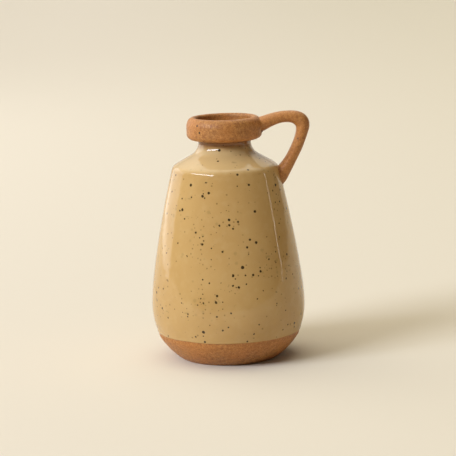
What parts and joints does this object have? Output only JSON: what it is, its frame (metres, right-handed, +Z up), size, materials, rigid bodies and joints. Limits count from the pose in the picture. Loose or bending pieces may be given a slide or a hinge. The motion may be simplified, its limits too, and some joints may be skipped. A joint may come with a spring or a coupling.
{
  "type": "stoneware jug vase",
  "caption": "Wheel-thrown stoneware jug vase with a speckled gloss glaze, a heavy bare-clay rim and a pulled side handle.",
  "frame": {"origin": "centre of the foot ring, on the plane that the vase stands on", "axes": "+Z up along the throwing axis, +X towards the handle, +Y across the handle"},
  "size_m": [0.1265, 0.12, 0.1927],
  "materials": {
    "bare_clay": "bare fired stoneware, matt, fine grog and iron specks",
    "speckled_glaze": "gloss, warm tan with dark iron specks",
    "liner_glaze": "thin gloss liner, brown",
    "fired_slip": "matt dark seam"
  },
  "bodies": {
    "root": {"body": "bare_clay", "rim_collar": "bare_clay", "handle": "bare_clay", "outer_glaze": "speckled_glaze", "liner_glaze": "liner_glaze", "collar_lute": "fired_slip", "handle_lute_upper": "fired_slip", "handle_lute_lower": "fired_slip"}
  },
  "joints": []
}
